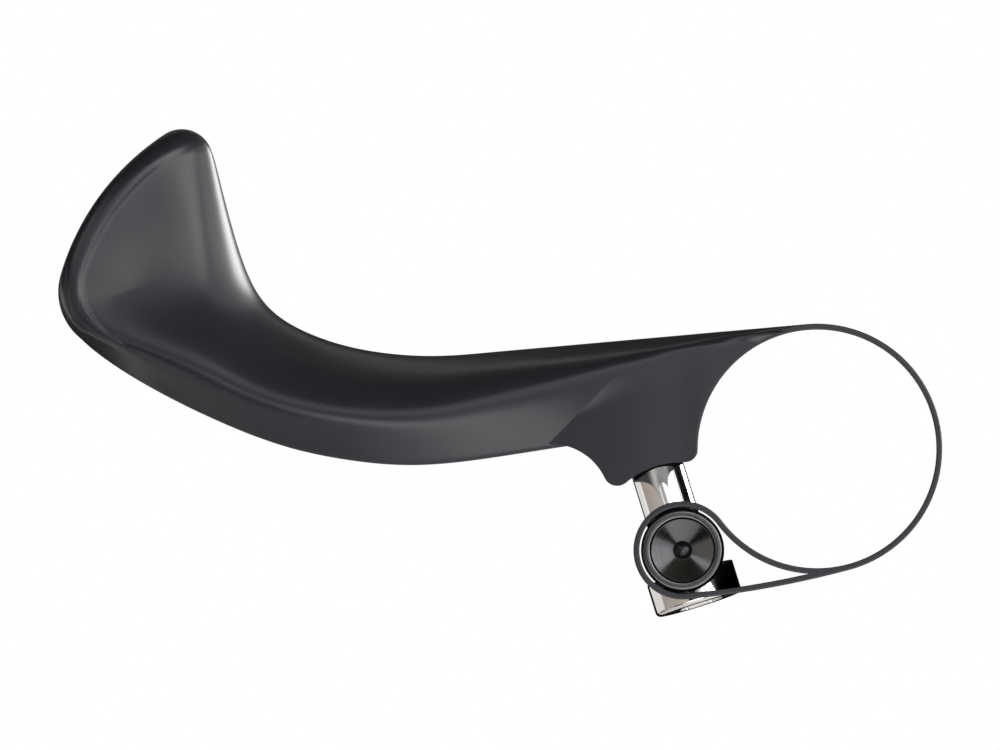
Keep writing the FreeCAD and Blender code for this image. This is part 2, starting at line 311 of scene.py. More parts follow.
def arcPoints(center, radius, start, end):
    # points about one step apart along an arc; its end is left to the arc that follows
    count = max(2, math.ceil(abs(math.radians(end - start)) * radius / clamp["stepMm"]))
    return polar(center, radius, np.linspace(start, end, count, endpoint=False))


def clampOutlines():
    # tangent arcs, walked counterclockwise round the outside, and the loop's opening
    bowRadius = clamp["bowRadius"]
    bow = circleMeet(barAxis, bowRadius - ringRadius, loopCenter, bowRadius - loopOuter, -1)
    ringEnd = bearing(bow, barAxis)
    loopEnd = bearing(bow, loopCenter)
    notch = circleMeet(barAxis, ringRadius, bow, bowRadius - strapThickness, 1)
    hollowRadius = clamp["hollowRadius"]
    hollow = atReach(clamp["hollowReach"], clamp["hollowTop"] - hollowRadius)
    bossRadius = clamp["bossRadius"]
    lobeRadius = clamp["lobeRadius"]
    lobe = circleMeet(hollow, hollowRadius + lobeRadius, loopCenter, bossRadius + lobeRadius, 1)
    saddleCorner = clamp["saddleCorner"]
    corner = circleMeet(barAxis, barRadius + saddleCorner, loopCenter, bossRadius + saddleCorner, -1)
    bossStart = math.degrees(math.acos((clamp["hollowReach"] - clamp["bossStartReach"]) / hollowRadius))
    bossTop = atReach(clamp["bossTopReach"], clamp["bossHeight"])
    insideAngle = 180 - math.degrees(math.asin(clamp["bossHeight"] / ringRadius))
    turn = clamp["loopBearing"]
    outside = [
        arcPoints(barAxis, ringRadius, ringEnd, 360 + insideAngle),
        polar(barAxis, ringRadius, insideAngle)[None],
        bossTop[None],
        arcPoints(hollow, hollowRadius, bossStart, bearing(hollow, lobe)),
        arcPoints(lobe, lobeRadius, bearing(lobe, hollow), bearing(lobe, loopCenter)),
        arcPoints(loopCenter, bossRadius, bearing(loopCenter, lobe), bearing(loopCenter, corner)),
        arcPoints(corner, saddleCorner, bearing(corner, loopCenter), 180 + bearing(barAxis, corner)),
        arcPoints(barAxis, barRadius, bearing(barAxis, corner), turn - 360),
        arcPoints(loopCenter, loopOuter, turn - 180, loopEnd),
        arcPoints(bow, bowRadius, loopEnd, ringEnd),
    ]
    opening = [
        arcPoints(barAxis, ringRadius, bearing(barAxis, notch), turn),
        arcPoints(loopCenter, loopRadius, turn - 180, loopEnd),
        arcPoints(bow, bowRadius - strapThickness, loopEnd, bearing(bow, notch)),
    ]
    return np.concatenate(outside), np.concatenate(opening)


def roundedWall(outline, inward):
    # the outline carried across the clamp; near each side it draws in along a quarter circle
    tangent = np.roll(outline, -1, 0) - np.roll(outline, 1, 0)
    tangent /= np.linalg.norm(tangent, axis=1, keepdims=True)
    normal = np.stack([-tangent[:, 1], tangent[:, 0]], -1) * inward
    turn = np.concatenate([[0], np.linspace(0, math.pi / 2, clamp["edgeRows"])])
    drawn = clamp["edgeRound"] * (1 - np.sin(turn))
    drawn[0] += clamp["flatRim"]
    side = halfWidth - clamp["sideInset"] - clamp["edgeRound"] * (1 - np.cos(turn))
    drawn = np.concatenate([drawn, drawn[::-1]])
    depth = np.concatenate([-side, side[::-1]])
    flat = outline[None] + normal[None] * drawn[:, None, None]
    return np.stack([flat[..., 0], np.broadcast_to(depth[:, None], flat.shape[:2]), flat[..., 1]], -1)


def turnOf(outline):
    # signed area: above zero for an outline that runs counterclockwise
    ahead = np.roll(outline, -1, 0)
    return np.sum(outline[:, 0] * ahead[:, 1] - ahead[:, 0] * outline[:, 1]) / 2


def clampPlate():
    # rounded walls along the outline and the opening, closed by the flat sides between them
    outside, opening = clampOutlines()
    walls = [roundedWall(outside, 1), roundedWall(opening, -np.sign(turnOf(opening)))]
    faces = []
    first = 0
    sides = [[], []]
    for wall in walls:
        rows, columns = wall.shape[:2]
        faces += (ringFaces(rows, columns) + first).tolist()
        sides[0].append(first + np.arange(columns))
        sides[1].append(first + (rows - 1) * columns + np.arange(columns))
        first += rows * columns
    flat = [[Vector((x, z, 0)) for x, y, z in wall[0].tolist()] for wall in walls]
    triangles = np.array(tessellate_polygon(flat))
    for side in sides:
        faces += np.concatenate(side)[triangles].tolist()
    return newPiece("clampPlate", np.concatenate([wall.reshape(-1, 3) for wall in walls]), faces)


def bossRunOut():
    # what comes off the boss's near side: it draws in towards the horn along a parabola, less and less
    # towards a line under the horn's top; the cut ends at the boss's slanting edge
    fadeStart, fadeEnd = clamp["runOutFade"]
    across = np.linspace(0, 1, clamp["runOutGrid"][0])[:, None]
    height = np.linspace(*clamp["runOutHeights"], clamp["runOutGrid"][1])[None]
    edgeStart = atReach(clamp["bossStartReach"], clamp["hollowTop"])
    edge = atReach(clamp["bossTopReach"], clamp["bossHeight"]) - edgeStart
    leftEnd = edgeStart[0] + (height - edgeStart[1]) * edge[0] / edge[1] - clamp["flatRim"]
    x = leftEnd + (-barRadius - fadeStart - leftEnd) * across
    z = np.broadcast_to(height, x.shape)
    start, end = clamp["runOutReach"]
    drop = clamp["runOutDrop"] * (np.clip(-barRadius - x - start, 0, None) / (end - start)) ** 2
    rise = math.radians(clamp["bandRise"])
    band = atReach(*clamp["bandReach"])
    below = (x - band[0]) * math.sin(rise) - (z - band[1]) * math.cos(rise)
    share = smoothStep(0, clamp["bandWidth"], below) * smoothStep(fadeStart, fadeEnd, -barRadius - x)
    side = (drop + clamp["bandDrop"]) * share - halfWidth
    out = np.full_like(x, -2 * halfWidth)
    rows, columns = x.shape
    points = np.concatenate([np.stack([x, depth, z], -1).reshape(-1, 3) for depth in (side, out)])
    first = (np.arange(rows - 1)[:, None] * columns + np.arange(columns - 1)[None]).ravel()
    quads = np.stack([first, first + columns, first + columns + 1, first + 1], -1)
    index = np.arange(rows * columns).reshape(rows, columns)
    rim = np.concatenate([index[:-1, 0], index[-1, :-1], index[:0:-1, -1], index[0, :0:-1]])
    ahead = np.roll(rim, -1)
    walls = np.stack([rim, ahead, ahead + rows * columns, rim + rows * columns], -1)
    return newPiece("bossRunOut", points, np.concatenate([quads, quads + rows * columns, walls]).tolist())


# Screw's line, up through the barrel into the boss
screw = {
    "tilt": 17.3, "lean": 3.3, "thread": 5.0, "length": 20.0, "headDiameter": 8.3, "headHeight": 3.1,
    "headSeat": 2.2, "headChamfer": 0.25, "tipChamfer": 0.5, "socketWidth": 4.0, "socketDepth": 1.9,
    "socketChamfer": (0.42, 0.25), "hexagonMargin": 0.2, "drillShare": 0.9, "drillRise": 0.5,
    "rounds": (0, 0, 0.05, 0.05, 0.05, 0.12, 0.12, 0.1, 0.08, 0.1, 0.1, 0), "roundSteps": 5,
    "segments": 144, "sharpAngle": 30,
}
tilt = math.radians(screw["tilt"])
lean = math.radians(screw["lean"])
screwAxis = np.array([-math.sin(tilt) * math.cos(lean), math.sin(lean), math.cos(tilt) * math.cos(lean)])
loopPoint = np.array([loopCenter[0], 0, loopCenter[1]])
alongBar = np.array([0.0, 1.0, 0.0])


def lathe(profile, segments, base, axis, sideShare=None):
    # a profile of (radius, distance) carried round an axis; sideShare turns a ring into a hexagon
    angle = np.arange(segments) * 2 * math.pi / segments
    across = np.cross(axis, [1.0, 0.0, 0.0])
    across /= np.linalg.norm(across)
    other = np.cross(axis, across)
    ring = across * np.cos(angle)[:, None] + other * np.sin(angle)[:, None]
    radius = np.repeat(profile[:, :1], segments, 1)
    if sideShare is not None:
        hexagon = 1 / np.cos((angle + math.pi / 6) % (math.pi / 3) - math.pi / 6)
        radius = radius * (1 + sideShare[:, None] * (hexagon - 1)[None])
    return base + radius[..., None] * ring[None] + profile[:, 1, None, None] * axis


def roundCorners(corners, rounds, steps):
    # each corner of a profile gives way to a short curve of the given reach, bent like a parabola
    corners = np.array(corners, float)
    before = np.roll(corners, 1, 0) - corners
    after = np.roll(corners, -1, 0) - corners
    reach = np.array(rounds, float)[:, None]
    start = corners + before / np.maximum(np.linalg.norm(before, axis=1, keepdims=True), tiny) * reach
    end = corners + after / np.maximum(np.linalg.norm(after, axis=1, keepdims=True), tiny) * reach
    t = np.linspace(0, 1, steps)[None, :, None]
    curve = (1 - t) ** 2 * start[:, None] + 2 * t * (1 - t) * corners[:, None] + t ** 2 * end[:, None]
    keep = np.repeat(reach > 0, steps, 1)
    keep[:, 0] = True
    return curve[keep]


# Horn. Each station: outer edge and inner edge (reach behind the bar, height), inset from the clamp's
# sides, half thickness, twist, and the powers that square off its near outer and its inner edge
horn = {
    "stations": [
        ((18.7, -0.76), (19.1, 9.02), 0.1, 4.7, 12.5, 2.7, 2.7),
        ((25.8, -1.50), (25.4, 8.66), 0.0, 4.4, 18.0, 2.5, 2.4),
        ((32.4, -1.06), (31.6, 9.33), 0.2, 4.2, 23.0, 2.4, 2.3),
        ((38.1, 0.13), (36.0, 10.68), 0.5, 4.1, 30.0, 2.4, 2.3),
        ((44.0, 2.30), (39.7, 12.93), 0.8, 4.0, 40.0, 2.5, 2.3),
        ((50.0, 5.20), (42.3, 17.30), 0.6, 4.0, 56.0, 3.4, 2.4),
        ((54.2, 7.70), (44.1, 23.40), 0.0, 4.0, 72.0, 5.0, 2.5),
        ((60.1, 12.35), (46.2, 31.15), -0.6, 4.0, 84.0, 6.0, 2.6),
    ],
    "cornerPower": 24.0, "sidePower": 34.0,
    "tipBulge": 3.13, "tipOuterRound": 5.6, "tipInnerRound": 2.9, "tipFaceRound": 1.6, "tipRoundPower": 4,
    "saddleSteps": 5, "saddleStart": 0.07, "saddlePower": 6.0, "saddleFlare": 7.0, "saddleFlarePower": 2.5,
    "saddleTwistPower": 1.5, "saddleFloor": 3.7,
    "columns": 240, "denseAngles": (-135, 133), "denseSpreads": (7, 12), "denseWeights": (8, 6),
    "neckRows": 110, "paddleRows": 150, "paddleShare": 0.6, "tipRows": 26, "capRows": 10,
    "beadHeight": 0.3, "beadCrest": 1.35, "beadFlank": 0.8,
    "dishDepth": 0.9, "dishReach": 8.0, "reliefReach": (44.0, 53.0), "facingFade": 0.3,
    "densitySamples": 3601, "sharpAngle": 32,
}
reachAndEdges = np.array([(*s[0], *s[1]) for s in horn["stations"]])
shapeOfStations = np.array([s[2:] for s in horn["stations"]])
tipOuter = atReach(*horn["stations"][-1][0])
tipInner = atReach(*horn["stations"][-1][1])
tipChord = tipInner - tipOuter
tipOutward = np.array([-tipChord[1], tipChord[0]]) / np.linalg.norm(tipChord)
tipRadius = (tipChord @ tipChord / 4 + horn["tipBulge"] ** 2) / (2 * horn["tipBulge"])
tipCenter = (tipOuter + tipInner) / 2 + tipOutward * (horn["tipBulge"] - tipRadius)


def sectionAngles():
    # once round the blade: the points draw together at the crisp corner under the outer edge and at
    # the near rim, where a bell is added to an even density, and lie at equal shares of its sum
    angle = np.linspace(-180, 180, horn["densitySamples"])
    density = np.ones_like(angle)
    for middle, spread, weight in zip(horn["denseAngles"], horn["denseSpreads"], horn["denseWeights"]):
        density += weight * np.exp(-((angle - middle) / spread) ** 2)
    total = np.concatenate([[0], np.cumsum(density[1:] + density[:-1])])
    shares = np.arange(horn["columns"]) / horn["columns"]
    return np.radians(np.interp(shares, total / total[-1], angle))


def bladeShape(shape):
    # superellipses turned by the twist, and held inside the clamp's sides by a soft limit;
    # gives depth along the bar and the share of the way from the outer to the inner edge
    inset, halfThickness, twist, outerPower, innerPower = (column[:, None] for column in shape.T)
    angle = sectionAngles()[None]
    cosine = np.cos(angle)
    sine = np.sin(angle)
    power = np.where(cosine > 0, innerPower, np.where(sine > 0, outerPower, horn["cornerPower"]))
    size = (np.abs(cosine) ** power + np.abs(sine) ** power) ** (-1 / power)
    across = (halfWidth - inset) * size * cosine
    through = halfThickness * size * sine
    turn = np.radians(twist)
    depth = across * np.cos(turn) - through * np.sin(turn)
    height = across * np.sin(turn) + through * np.cos(turn)
    limit = (1 + (np.abs(depth) / halfWidth) ** horn["sidePower"]) ** (-1 / horn["sidePower"])
    depth = depth * limit
    height = height * limit
    lowest = height.min(1, keepdims=True)
    highest = height.max(1, keepdims=True)
    return depth, (height - lowest) / (highest - lowest)


def saddleStations():
    # the horn widens and squares off from its first station up to where its top meets the strap
    edges = reachAndEdges[0]
    rootTop = atReach(edges[2], edges[3])
    slope = bearing(rootTop, barAxis) + math.degrees(math.asin(ringRadius / np.linalg.norm(rootTop)))
    ringTop = polar(barAxis, ringRadius, slope + 90)
    steps = horn["saddleSteps"]
    share = (np.arange(steps) + horn["saddleStart"]) / (steps + horn["saddleStart"])
    top = ringTop + (rootTop - ringTop) * share[:, None]
    innerReach = -barRadius - top[:, 0]
    outerReach = innerReach + (edges[0] - edges[2]) * share
    outerHeight = horn["saddleFloor"] + (edges[1] - horn["saddleFloor"]) * share
    inset, halfThickness, twist, outerPower, innerPower = shapeOfStations[0]
    flare = inset - horn["saddleFlare"] * (1 - share) ** horn["saddleFlarePower"]
    power = horn["saddlePower"] + (outerPower - horn["saddlePower"]) * share
    twists = twist * share ** horn["saddleTwistPower"]
    shape = np.stack([flare, np.full_like(share, halfThickness), twists, power, power], -1)
    return np.stack([outerReach, outerHeight, innerReach, top[:, 1]], -1), shape


def straightSections(edges, shape):
    # each point lies at its share of the way along the line from the outer to the inner edge
    depth, share = bladeShape(shape)
    reach = edges[:, 0:1] + (edges[:, 2:3] - edges[:, 0:1]) * share
    height = edges[:, 1:2] + (edges[:, 3:4] - edges[:, 1:2]) * share
    return np.stack([-barRadius - reach, depth, height], -1), share


def tipCorner(edgeStart, edgeEnd, radius, side, step):
    # points on the circle that rounds an edge into the tip's arc; side +1 is to the edge's left
    forward = (edgeEnd - edgeStart) / np.linalg.norm(edgeEnd - edgeStart)
    inward = np.array([-forward[1], forward[0]]) * side
    start = edgeEnd + inward * radius - tipCenter
    along = start @ forward
    ahead = math.sqrt((tipRadius - radius) ** 2 - start @ start + along ** 2) - along
    center = tipCenter + start + forward * ahead
    endAngle = bearing(tipCenter, center)
    turn = (endAngle - bearing(inward, barAxis) + 180) % 360 - 180
    return polar(center, radius, endAngle - turn * (1 - step))


def tipSections(step, shrink):
    # sections bent along the tip's arc, which draw in round the tip's edge and then close over it
    before = reachAndEdges[-2]
    outer = tipCorner(atReach(*before[:2]), tipOuter, horn["tipOuterRound"], -1, step)
    inner = tipCorner(atReach(*before[2:]), tipInner, horn["tipInnerRound"], 1, step)
    start, end = (np.degrees(np.arctan2(*(p - tipCenter).T[::-1])) % 360 for p in (outer, inner))
    rest = np.radians(90 * (1 - step))
    faceDepth = horn["tipFaceRound"] * (1 - np.cos(rest))
    outerMore = tipRadius - np.linalg.norm(outer - tipCenter, axis=1) - faceDepth
    innerMore = tipRadius - np.linalg.norm(inner - tipCenter, axis=1) - faceDepth
    shape = np.repeat(shapeOfStations[-1:], len(step), 0)
    shape[:, 1] -= horn["tipFaceRound"] * (1 - np.sin(rest))
    depth, share = bladeShape(shape)
    middle = (share.max(1, keepdims=True) + share.min(1, keepdims=True)) / 2
    share = middle + (share - middle) * shrink[:, None]
    depth = depth * shrink[:, None]
    power = horn["tipRoundPower"]
    more = outerMore[:, None] * (1 - share) ** power + innerMore[:, None] * share ** power
    angle = start[:, None] + (end - start)[:, None] * share
    flat = polar(tipCenter, tipRadius - faceDepth[:, None] - more, angle)
    return np.stack([flat[..., 0], depth, flat[..., 1]], -1), share


def splineThrough(x, y, xNew):
    # a cubic spline: the slopes at its knots are solved so that the bending runs on through each,
    # and the end slopes are those of the cubic through the nearest four points
    count = len(x)
    flat = y.reshape(count, -1)
    h = np.diff(x)
    rise = np.diff(flat, axis=0) / h[:, None]
    matrix = np.zeros((count, count))
    right = np.zeros_like(flat)
    inside = np.arange(1, count - 1)
    matrix[inside, inside - 1] = 1 / h[:-1]
    matrix[inside, inside] = 2 / h[:-1] + 2 / h[1:]
    matrix[inside, inside + 1] = 1 / h[1:]
    right[1:-1] = 3 * (rise[:-1] / h[:-1, None] + rise[1:] / h[1:, None])
    for end, four in ((0, slice(0, 4)), (count - 1, slice(count - 4, count))):
        matrix[end, end] = 1
        right[end] = np.linalg.solve(np.vander(x[four] - x[end], 4), flat[four])[2]
    slope = np.linalg.solve(matrix, right)
    k = np.clip(np.searchsorted(x, xNew, side="right") - 1, 0, count - 2)
    t = ((xNew - x[k]) / h[k])[:, None]
    step = h[k][:, None]
    made = ((1 + 2 * t) * (1 - t) ** 2 * flat[k] + t * (1 - t) ** 2 * step * slope[k]
            + t ** 2 * (3 - 2 * t) * flat[k + 1] + t ** 2 * (t - 1) * step * slope[k + 1])
    return made.reshape(len(xNew), *y.shape[1:])


def surfaceNormals(grid):
    # square to the steps round and along the grid, turned outwards
    around = np.roll(grid, -1, 1) - np.roll(grid, 1, 1)
    along = np.gradient(grid, axis=0)
    normal = np.cross(around, along)
    normal /= np.maximum(np.linalg.norm(normal, axis=2, keepdims=True), tiny)
    outward = np.sum(normal * (grid - grid.mean(1, keepdims=True)))
    return normal * np.sign(outward)


def hornSkin():
    # a spline over the distance between the sections' middles runs through saddle, horn and tip, and
    # the tip's own sections then round it off; each point keeps its share between the edges
    edges, shape = saddleStations()
    edges = np.concatenate([edges, reachAndEdges[:-1]])
    shape = np.concatenate([shape, shapeOfStations[:-1]])
    sections, share = straightSections(edges, shape)
    tip, tipShare = tipSections(np.zeros(1), np.ones(1))
    sections = np.concatenate([sections, tip])
    share = np.concatenate([share, tipShare])
    knots = np.concatenate([sections, share[..., None]], -1)
    middle = knots[..., :3].mean(1)
    x = np.concatenate([[0], np.cumsum(np.linalg.norm(np.diff(middle, axis=0), axis=1))])
    paddle = horn["paddleShare"] * x[-1]
    rows = np.concatenate([np.linspace(0, paddle, horn["neckRows"], endpoint=False),
                           np.linspace(paddle, x[-1], horn["paddleRows"])])
    body = splineThrough(x, knots, rows)
    step = np.linspace(0, 1, horn["tipRows"])[1:]
    shrink = np.linspace(1, 0, horn["capRows"] + 1)[1:-1]
    steps = np.concatenate([step, np.ones_like(shrink)])
    rounded, roundedShare = tipSections(steps, np.concatenate([np.ones_like(step), shrink]))
    grid = np.concatenate([body[..., :3], rounded])
    share = np.concatenate([body[..., 3], roundedShare])
    return grid, share


def rimRelief(grid, share):
    # the near face stands out in a bead along the tip and the outer edge, a parabola that climbs to
    # its crest and a steeper one down to the face, and inside it sinks in a shallow parabolic dish;
    # the distances from the two edges join round the tip's outer corner
    flat = grid[..., [0, 2]]
    row = np.arange(len(grid))
    width = np.linalg.norm(flat[row, share.argmax(1)] - flat[row, share.argmin(1)], axis=1)[:, None]
    cornerRound = horn["tipOuterRound"]
    beforeEnd = np.clip(cornerRound - tipRadius + np.linalg.norm(flat - tipCenter, axis=2), 0, None)
    beforeOuter = np.clip(cornerRound - share * width, 0, None)
    fromRim = cornerRound - np.hypot(beforeEnd, beforeOuter)
    inside = np.minimum(share * width, tipRadius - np.linalg.norm(flat - tipCenter, axis=2))
    fromRim = np.where(fromRim < cornerRound, fromRim, inside)
    climb = 1 - np.clip(1 - fromRim / horn["beadCrest"], 0, 1) ** 2
    fall = np.clip(1 - (np.clip(fromRim - horn["beadCrest"], 0, None) / horn["beadFlank"]) ** 2, 0, 1)
    pastBead = np.clip((fromRim - horn["beadCrest"] - horn["beadFlank"]) / horn["dishReach"], 0, 1)
    dish = (1 - (1 - pastBead) ** 2) * smoothStep(0, horn["dishReach"], (1 - share) * width)
    facing = smoothStep(0, horn["facingFade"], -surfaceNormals(grid)[..., 1])
    fade = smoothStep(*horn["reliefReach"], -barRadius - grid[..., 0])
    relief = grid.copy()
    relief[..., 1] += (horn["dishDepth"] * dish - horn["beadHeight"] * climb * fall) * facing * fade
    return relief


# Hole for the screw, from below: a window for its head, a slot for its shank, the insert's bore, a plain end
screwHole = {
    "startBelow": 16.0, "windowClearance": 0.45, "slotClearance": 0.5, "insertRadius": 3.2,
    "insertClearance": 0.02, "insertRecess": 1.4, "insertLength": 8.0, "endClearance": 0.25, "endRoom": 0.6,
    "segments": 96,
}


def holeForScrew():
    # steps of (radius, distance) along the screw's line; the slot ends between the loop and the boss
    window = screw["headDiameter"] / 2 + screwHole["windowClearance"]
    windowEnd = screwHole["windowClearance"] - screw["headSeat"]
    slot = screw["thread"] / 2 + screwHole["slotClearance"]
    slotEnd = (loopOuter + clamp["bossRadius"]) / 2
    bore = screwHole["insertRadius"] + screwHole["insertClearance"]
    boreEnd = clamp["bossRadius"] + screwHole["insertRecess"] + screwHole["insertLength"]
    narrow = screw["thread"] / 2 + screwHole["endClearance"]
    bottom = screw["length"] - screw["headSeat"] + screwHole["endRoom"]
    steps = np.array([(window, -screwHole["startBelow"]), (window, windowEnd), (slot, windowEnd),
                      (slot, slotEnd), (bore, slotEnd), (bore, boreEnd), (narrow, boreEnd), (narrow, bottom)])
    return closedPiece("holeForScrew", lathe(steps, screwHole["segments"], loopPoint, screwAxis))


def hornMoulding(material):
    # the skin, opened for the bar, joined to the clamp, then cut back at the boss and drilled
    piece = closedPiece("hornMoulding", rimRelief(*hornSkin()))
    reach = 2 * halfWidth
    boreRadius = barRadius + strapThickness / 2
    bore = np.array([(boreRadius, -reach), (boreRadius, reach)])
    carve(piece, closedPiece("bore", lathe(bore, clamp["boreSegments"], np.zeros(3), alongBar)), "DIFFERENCE")
    carve(piece, clampPlate(), "UNION")
    carve(piece, bossRunOut(), "DIFFERENCE")
    carve(piece, holeForScrew(), "DIFFERENCE")
    settle(piece, "horn_body", material, horn["sharpAngle"])


# Barrel, the same at both ends: chamfer, flat rim, step, cone and a drilled hole
barrel = {
    "overhang": 0.25, "chamferWidth": 0.27, "chamferDepth": 0.45, "dishRim": 0.51, "dishStep": 0.36,
    "stepAngle": 60.0, "coneAngle": 30.0, "holeRadius": 0.85, "holeDepth": 2.0, "drillAngle": 31.0,
    "rounds": (0, 0.1, 0.06, 0.05, 0.06, 0.05, 0.05), "roundSteps": 4, "segments": 180, "sharpAngle": 40,
    "headClearance": 0.3, "shankClearance": 0.25, "cutSegments": 96,
}


def turningMap(piece, rows, columns):
    # UV map of a turned piece: u runs once round the axis and v along the profile
    mesh = piece.data
    corner = np.empty(len(mesh.loops), int)
    mesh.loops.foreach_get("vertex_index", corner)
    start = np.empty(len(mesh.polygons), int)
    count = np.empty(len(mesh.polygons), int)
    mesh.polygons.foreach_get("loop_start", start)
    mesh.polygons.foreach_get("loop_total", count)
    column = corner % columns
    seam = np.maximum.reduceat(column, start) - np.minimum.reduceat(column, start) > columns / 2
    column = np.where(np.repeat(seam, count) & (column == 0), columns, column)
    uv = np.stack([column / columns, corner // columns / rows], -1)
    mesh.uv_layers.new(name="turning").data.foreach_set("uv", uv.ravel().astype(np.float32))


def turnedBarrel(material):
    # a profile of (radius, depth) from the hole's point out to the chamfer, mirrored for the other end
    half = halfWidth + barrel["overhang"]
    radius = clamp["barrelRadius"]
    face = radius - barrel["chamferWidth"]
    rim = face - barrel["dishRim"]
    stepEnd = rim - barrel["dishStep"] / math.tan(math.radians(barrel["stepAngle"]))
    hole = barrel["holeRadius"]
    coneDepth = barrel["dishStep"] + (stepEnd - hole) * math.tan(math.radians(barrel["coneAngle"]))
    bottom = coneDepth + barrel["holeDepth"]
    point = bottom + hole * math.tan(math.radians(barrel["drillAngle"]))
    end = [(poleRadius, point), (hole, bottom), (hole, coneDepth), (stepEnd, barrel["dishStep"]), (rim, 0),
           (face, 0), (radius, barrel["chamferDepth"])]
    rounds = barrel["rounds"]
    corners = [(r, d - half) for r, d in end] + [(r, half - d) for r, d in reversed(end)]
    profile = roundCorners(corners, rounds + rounds[::-1], barrel["roundSteps"])
    grid = lathe(profile, barrel["segments"], loopPoint, alongBar)
    piece = closedPiece("turnedBarrel", grid)
    turningMap(piece, *grid.shape[:2])
    reach = 2 * radius
    spotRadius = screw["headDiameter"] / 2 + barrel["headClearance"]
    shankRadius = screw["thread"] / 2 + barrel["shankClearance"]
    cuts = np.array([(spotRadius, -reach), (spotRadius, -screw["headSeat"]),
                     (shankRadius, -screw["headSeat"]), (shankRadius, reach)])
    crossHole = closedPiece("crossHole", lathe(cuts, barrel["cutSegments"], loopPoint, screwAxis))
    carve(piece, crossHole, "DIFFERENCE")
    settle(piece, "barrel_pin", material, barrel["sharpAngle"])


def platedScrew(material):
    # a profile of (radius, distance) from the socket's floor round the head to the tip; the rings
    # inside the socket are hexagons
    seat = -screw["headSeat"]
    headEnd = seat - screw["headHeight"]
    headRadius = screw["headDiameter"] / 2
    headChamfer = screw["headChamfer"]
    shank = screw["thread"] / 2
    tip = screw["length"] - screw["headSeat"]
    tipChamfer = screw["tipChamfer"]
    socket = screw["socketWidth"] / 2
    floor = headEnd + screw["socketDepth"]
    mouthWidth, mouthDepth = screw["socketChamfer"]
    corners = [(poleRadius, floor + screw["drillRise"]), (socket * screw["drillShare"], floor),
               (socket, floor), (socket, headEnd + mouthDepth), (socket + mouthWidth, headEnd),
               (headRadius - headChamfer, headEnd), (headRadius, headEnd + headChamfer), (headRadius, seat),
               (shank, seat), (shank, tip - tipChamfer), (shank - tipChamfer, tip), (poleRadius, tip)]
    profile = roundCorners(corners, screw["rounds"], screw["roundSteps"])
    hexagonal = (profile[:, 1] < seat) & (profile[:, 0] < socket + screw["hexagonMargin"])
    grid = lathe(profile, screw["segments"], loopPoint, screwAxis, hexagonal.astype(float))
    piece = closedPiece("platedScrew", grid)
    settle(piece, "clamp_screw", material, screw["sharpAngle"])


hornMoulding(mouldedNylon())
turnedBarrel(anodisedAluminium())
platedScrew(brightPlatedSteel())
insert = frame["nodes"]["threaded_insert"]     # hidden in the boss, so it keeps its CAD mesh
insert.data.materials.clear()
insert.data.materials.append(turnedBrass())
print("pieces made")

# Studio, in metres: a plain pale floor far below the part and white all round. Soft boxes light it from
# the right, in front and behind, and from low in front. The camera doesn't see the cards, but the part
# mirrors them: dark ones above, behind, left and low down, pale ones in front, a black one by the screw.
studio = {
    "floorSize": 3.2, "floorGap": 0.285, "floor": "#f2f2f2", "ambient": 0.9, "aim": (-0.03, 0, 0.005),
    "softBoxes": {
        "softBoxKey": {"place": (0.262, -0.30, 0.08), "size": (0.22, 0.25), "watts": 0.47},
        "softBoxLow": {"place": (0.04, -0.45, -0.22), "size": (0.60, 0.20), "watts": 0.80},
        "softBoxRim": {"place": (0.345, 0.32, 0.065), "size": (0.22, 0.26), "watts": 1.6},
        "softBoxFront": {"place": (0.055, -0.35, 0.108), "size": (0.145, 0.13), "watts": 0.10},
        "softBoxSide": {"place": (0.36, 0.0, 0.07), "size": (0.26, 0.16), "watts": 0.22},
    },
    "cards": {
        "cardAbove": {"place": (-0.03, 0.01, 0.30), "size": (0.70, 0.80), "colour": "#4e4a43"},
        "cardBack": {"place": (-0.02, 0.46, 0.0), "size": (0.62, 0.56), "colour": "#1c1a18"},
        "cardLeft": {"place": (-0.44, 0.22, 0.17), "size": (0.45, 0.36), "colour": "#1c1a18"},
        "cardLeftFront": {"place": (-0.41, -0.238, -0.06), "size": (0.78, 0.50), "colour": "#c6bdb7"},
        "cardFront": {"place": (-0.05, -0.55, 0.03), "size": (0.22, 0.20), "colour": "#d2d2d4"},
        "cardFrontLeft": {"place": (-0.085, -0.35, -0.008), "size": (0.13, 0.095), "colour": "#242426"},
        "cardLowBack": {"place": (-0.323, 0.17, -0.223), "size": (0.20, 0.12), "colour": "#1c1a18"},
        "cardRight": {"place": (0.062, 0.012, 0.021), "size": (0.040, 0.030), "colour": "#050505"},
        "cardLowLeft": {"place": (-0.26, -0.21, -0.25), "size": (0.18, 0.20), "colour": "#1c1a18"},
        "cardLowRight": {"place": (0.23, -0.21, -0.25), "size": (0.18, 0.20), "colour": "#1c1a18"},
    },
}


def feltCard(name, place, size, colour):
    # a flat card with its face turned to the part, left out of what the camera sees
    place = np.array(place)
    facing = np.array(studio["aim"]) - place
    facing /= np.linalg.norm(facing)
    across = np.cross(facing, [0.0, 0.0, 1.0])
    across /= np.linalg.norm(across)
    other = np.cross(across, facing)
    material, tree = newMaterial("felt card")
    shader = addNode(tree, "ShaderNodeBsdfDiffuse", {"Color": linear(colour)})
    addNode(tree, "ShaderNodeOutputMaterial", {"Surface": shader.outputs["BSDF"]})
    u, v = np.meshgrid([-size[0] / 2, size[0] / 2], [-size[1] / 2, size[1] / 2])
    points = place + u.ravel()[:, None] * across + v.ravel()[:, None] * other
    card = newPiece(name, points, [[0, 1, 3, 2]])
    card.data.materials.append(material)
    card.visible_camera = False


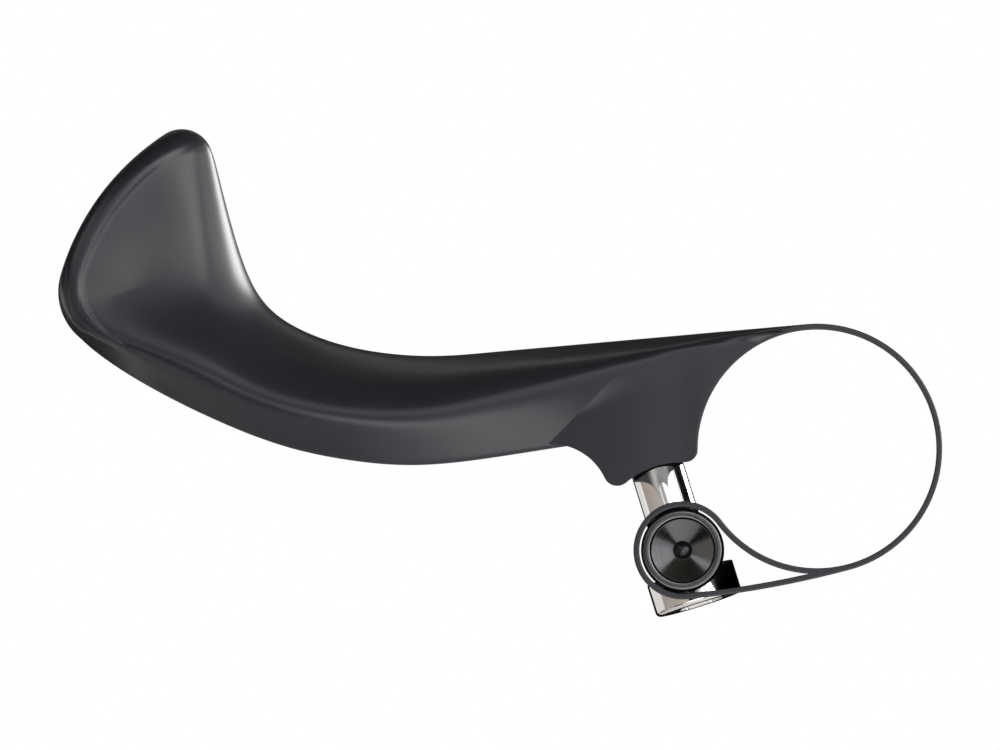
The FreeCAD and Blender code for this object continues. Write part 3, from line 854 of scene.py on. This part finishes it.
def studioFloor():
    # one square, the gap below the part's lowest point
    low = cadBox[0][2] - studio["floorGap"]
    half = studio["floorSize"] / 2
    x, y = np.meshgrid([-half, half], [-half, half])
    points = np.stack([x.ravel(), y.ravel(), np.full(4, low)], -1)
    floor = newPiece("studioFloor", points, [[0, 1, 3, 2]])
    material, tree = newMaterial("matt paper floor")
    shader = addNode(tree, "ShaderNodeBsdfDiffuse", {"Color": linear(studio["floor"])})
    addNode(tree, "ShaderNodeOutputMaterial", {"Surface": shader.outputs["BSDF"]})
    floor.data.materials.append(material)


def studioWorld():
    # plain white where it is seen or mirrored, a little dimmer as the light that falls on the part
    world = bpy.data.worlds.new("studio")
    bpy.context.scene.world = world
    world.use_nodes = True
    tree = world.node_tree
    tree.nodes.clear()
    path = addNode(tree, "ShaderNodeLightPath")
    seen = addNode(tree, "ShaderNodeMath",
                   {0: path.outputs["Is Camera Ray"], 1: path.outputs["Is Glossy Ray"]}, operation="MAXIMUM")
    soft = addNode(tree, "ShaderNodeBackground", {"Color": (1, 1, 1, 1), "Strength": studio["ambient"]})
    white = addNode(tree, "ShaderNodeBackground", {"Color": (1, 1, 1, 1), "Strength": 1.0})
    both = addNode(tree, "ShaderNodeMixShader", {0: seen.outputs[0], 1: soft.outputs[0], 2: white.outputs[0]})
    addNode(tree, "ShaderNodeOutputWorld", {"Surface": both.outputs[0]})


def softBox(name, place, aim, size, watts):
    # a lit rectangle turned to the part, left out of what the camera sees
    light = bpy.data.lights.new(name, "AREA")
    light.shape = "RECTANGLE"
    light.size, light.size_y = size
    light.energy = watts
    lamp = bpy.data.objects.new(name, light)
    lamp.location = place
    lamp.rotation_euler = (Vector(aim) - Vector(place)).to_track_quat("-Z", "Y").to_euler()
    lamp.visible_camera = False
    bpy.context.scene.collection.objects.link(lamp)


def photoCamera():
    # straight along the bar with parallel rays, at the photo's scale
    view = {"pixelsPerMm": 10.742, "pixelsWide": 1000, "middleMm": (-29.52, 6.88), "awayMm": 400.0}
    lens = bpy.data.cameras.new("photoCamera")
    lens.type = "ORTHO"
    lens.ortho_scale = view["pixelsWide"] / view["pixelsPerMm"] * mm
    camera = bpy.data.objects.new("photoCamera", lens)
    camera.location = (view["middleMm"][0] * mm, -view["awayMm"] * mm, view["middleMm"][1] * mm)
    camera.rotation_euler = (math.pi / 2, 0, 0)
    bpy.context.scene.collection.objects.link(camera)
    bpy.context.scene.camera = camera


studioFloor()
studioWorld()
for name, card in studio["cards"].items():
    feltCard(name, card["place"], card["size"], card["colour"])
for name, box in studio["softBoxes"].items():
    softBox(name, box["place"], studio["aim"], box["size"], box["watts"])
photoCamera()
bpy.context.scene.view_settings.view_transform = "Standard"
print("studio set")
